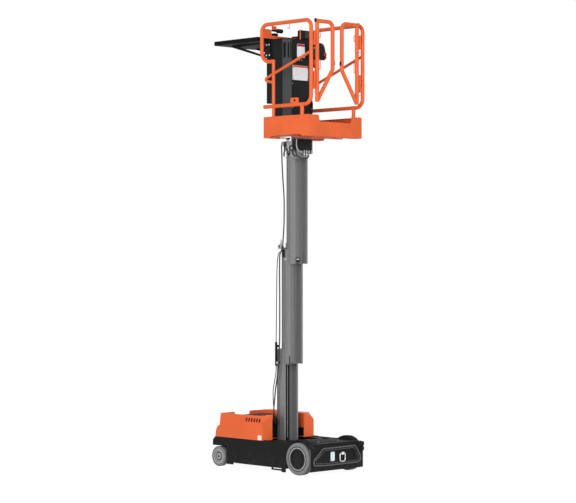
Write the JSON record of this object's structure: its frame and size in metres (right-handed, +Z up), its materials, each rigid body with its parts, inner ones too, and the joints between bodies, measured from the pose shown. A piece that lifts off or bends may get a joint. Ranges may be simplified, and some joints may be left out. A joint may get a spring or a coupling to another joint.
{
  "type": "vertical mast lift",
  "caption": "Self-propelled vertical mast lift with telescoping aluminium sections, a caged platform with swing gates, a console and a front tray.",
  "frame": {"origin": "centre of the bounding box's base, on the floor", "axes": "+X forward from the entry gates to the hood, +Y to the left, +Z up"},
  "size_m": [1.4924, 0.758, 4.431],
  "materials": {
    "black_paint": "textured black powder coat",
    "orange_paint": "orange powder coat, semi-gloss",
    "orange_cover": "moulded cover, painted orange",
    "aluminium": "natural anodised extrusion",
    "steel": "zinc-plated steel",
    "chrome": "hard chrome, polished",
    "tyre_grey": "non-marking grey solid tyre",
    "rim": "black painted wheel disc",
    "light_rim": "light grey wheel disc",
    "nylon": "slide pad plastic",
    "black_plastic": "black textured plastic",
    "battery": "battery cases"
  },
  "bodies": {
    "base": {"chassis_tub": "black_paint", "rear_deck": "black_paint", "rear_panel": "black_paint", "battery_block": "battery", "drive_axles": "steel", "front_axle_beam": "black_paint", "pothole_guards": "black_paint", "tow_ring": "steel", "hood": "orange_cover", "ground_control": "black_plastic", "mast_foot": "steel", "mast_section_0": "aluminium", "slide_pads_0": "nylon", "lift_barrel": "black_paint", "cable_guide_0": "black_plastic"},
    "knuckle_left": {"knuckle_left": "steel"},
    "knuckle_right": {"knuckle_right": "steel"},
    "wheel_front_left": {"front_tyre_left": "tyre_grey", "front_hub_left": "light_rim"},
    "wheel_front_right": {"front_tyre_right": "tyre_grey", "front_hub_right": "light_rim"},
    "wheel_rear_left": {"rear_tyre_left": "tyre_grey", "rear_hub_left": "rim"},
    "wheel_rear_right": {"rear_tyre_right": "tyre_grey", "rear_hub_right": "rim"},
    "stage_1": {"mast_section_1": "aluminium", "slide_pads_1": "nylon", "lift_rod": "chrome", "head_1": "steel", "cable_guide_1": "black_plastic"},
    "stage_2": {"mast_section_2": "aluminium", "slide_pads_2": "nylon", "head_2": "steel"},
    "platform": {"carriage": "aluminium", "slide_pads_3": "nylon", "platform_pan": "orange_paint", "side_rails": "orange_paint", "console_guard": "black_plastic", "control_panel": "black_plastic", "hand_control": "black_plastic", "tray_support": "black_paint", "tray": "black_plastic"},
    "gate_left": {"gate_left": "orange_paint"},
    "gate_right": {"gate_right": "orange_paint"}
  },
  "joints": [
    {"name": "rear_wheel_left", "type": "hinge", "parent": "base", "child": "wheel_rear_left", "pos_m": [-0.55375, 0.337, 0.1585], "axis": [0, 1, 0], "continuous": true},
    {"name": "rear_wheel_right", "type": "hinge", "parent": "base", "child": "wheel_rear_right", "pos_m": [-0.55375, -0.337, 0.1585], "axis": [0, 1, 0], "continuous": true},
    {"name": "steer_left", "type": "hinge", "parent": "base", "child": "knuckle_left", "pos_m": [0.59625, 0.283, 0.1], "axis": [0, 0, 1], "range_deg": [-75, 75]},
    {"name": "steer_right", "type": "hinge", "parent": "base", "child": "knuckle_right", "pos_m": [0.59625, -0.283, 0.1], "axis": [0, 0, 1], "range_deg": [-75, 75]},
    {"name": "front_wheel_left", "type": "hinge", "parent": "knuckle_left", "child": "wheel_front_left", "pos_m": [0.59625, 0.339, 0.1015], "axis": [0, 1, 0], "continuous": true},
    {"name": "front_wheel_right", "type": "hinge", "parent": "knuckle_right", "child": "wheel_front_right", "pos_m": [0.59625, -0.339, 0.1015], "axis": [0, 1, 0], "continuous": true},
    {"name": "mast_slide_1", "type": "slide", "parent": "base", "child": "stage_1", "axis": [0, 0, 1], "range_m": [-0.97, 0]},
    {"name": "mast_slide_2", "type": "slide", "parent": "stage_1", "child": "stage_2", "axis": [0, 0, 1], "range_m": [-0.97, 0]},
    {"name": "mast_slide_3", "type": "slide", "parent": "stage_2", "child": "platform", "axis": [0, 0, 1], "range_m": [-0.97, 0]},
    {"name": "gate_left_hinge", "type": "hinge", "parent": "platform", "child": "gate_left", "pos_m": [-0.72675, 0.3165, 3.8], "axis": [0, 0, 1], "range_deg": [0, 90]},
    {"name": "gate_right_hinge", "type": "hinge", "parent": "platform", "child": "gate_right", "pos_m": [-0.72675, -0.3165, 3.8], "axis": [0, 0, 1], "range_deg": [-90, 0]}
  ],
  "couplings": [
    {"joint": "mast_slide_2", "follows": "mast_slide_1", "ratio": 1},
    {"joint": "mast_slide_3", "follows": "mast_slide_1", "ratio": 1},
    {"joint": "steer_right", "follows": "steer_left", "ratio": 1}
  ]
}
